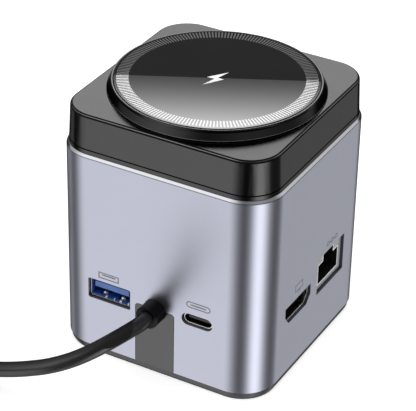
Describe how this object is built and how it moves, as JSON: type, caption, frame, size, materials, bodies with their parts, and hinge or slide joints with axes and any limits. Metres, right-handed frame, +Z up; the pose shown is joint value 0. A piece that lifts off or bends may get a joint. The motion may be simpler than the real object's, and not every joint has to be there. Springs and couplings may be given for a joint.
{
  "type": "laptop docking station",
  "caption": "Aluminium cube docking station with a round magnetic charging puck on its dark top cap, data, display and network sockets on two faces and a captive lead with a plug.",
  "frame": {"origin": "centre of the underside of the foot pad, without the lead", "axes": "+Z up, -Y out of the face with the lead, +X out of the face with the display and network sockets"},
  "size_m": [0.1465, 0.1, 0.0781],
  "materials": {
    "sleeve_aluminium": "satin anodised grey",
    "base_plastic": "fine matt dark grey",
    "cap_plastic": "satin charcoal with a metallic sheen",
    "pad_rubber": "matt",
    "puck_plastic": "satin black",
    "bezel_plastic": "polished black",
    "puck_glass": "black back-printed glass",
    "steel": "plated",
    "heat_sink_aluminium": "extruded",
    "socket_metal": "nickel plated",
    "socket_blue": "moulded",
    "socket_black": "moulded",
    "contact_gold": "gold plated",
    "board_green": "solder mask",
    "chip_black": "moulded",
    "capacitor_tan": "fired",
    "pad_blue": "thermal pad",
    "copper": "enamelled copper",
    "ferrite": "sintered",
    "magnet": "nickel plated",
    "adhesive": "double-sided tape",
    "nylon_white": "moulded",
    "wire_red": "insulation",
    "cord_jacket": "smooth",
    "plug_plastic": "moulded",
    "tie_fabric": "woven hook-and-loop strap"
  },
  "bodies": {
    "root": {"housing_sleeve": "sleeve_aluminium", "base_cover": "base_plastic", "foot_pad": "pad_rubber", "base_screws": "steel", "ballast_plate": "steel", "ballast_screws": "steel", "chassis": "socket_black", "top_cap": "cap_plastic", "cap_screws": "steel", "puck_base": "puck_plastic", "puck_bezel": "bezel_plastic", "glass_plate": "puck_glass", "puck_adhesive": "adhesive", "charging_coil": "copper", "ferrite_shield": "ferrite", "magnet_ring": "magnet", "coil_leads": "copper", "wireless_board": "board_green", "wireless_chips": "chip_black", "wireless_capacitors": "capacitor_tan", "wireless_screws": "steel", "main_board": "board_green", "hub_chip": "chip_black", "display_chip": "chip_black", "network_chip": "chip_black", "power_chip": "chip_black", "network_transformer": "chip_black", "crystals": "socket_metal", "capacitors": "capacitor_tan", "inductors": "ferrite", "thermal_pads": "pad_blue", "heat_sink": "heat_sink_aluminium", "harness_wires": "wire_red", "harness_plugs": "nylon_white", "usb_a_shell": "socket_metal", "usb_a_insert": "socket_blue", "usb_a_contacts": "contact_gold", "usb_c_shell": "socket_metal", "usb_c_insert": "socket_black", "usb_c_contacts": "contact_gold", "display_shell": "socket_metal", "display_insert": "socket_black", "display_contacts": "contact_gold", "network_shield": "socket_metal", "network_housing": "socket_black", "network_contacts": "contact_gold", "strain_relief": "plug_plastic", "lead_clamp": "steel", "clamp_screws": "steel", "lead_end": "cord_jacket", "lead_cores": "wire_red", "cord_tube": "cord_jacket", "cord_coil": "cord_jacket", "cord_tail": "cord_jacket", "cord_tie": "tie_fabric", "plug_relief": "plug_plastic", "plug_body": "plug_plastic", "plug_tip": "socket_metal"}
  },
  "joints": []
}
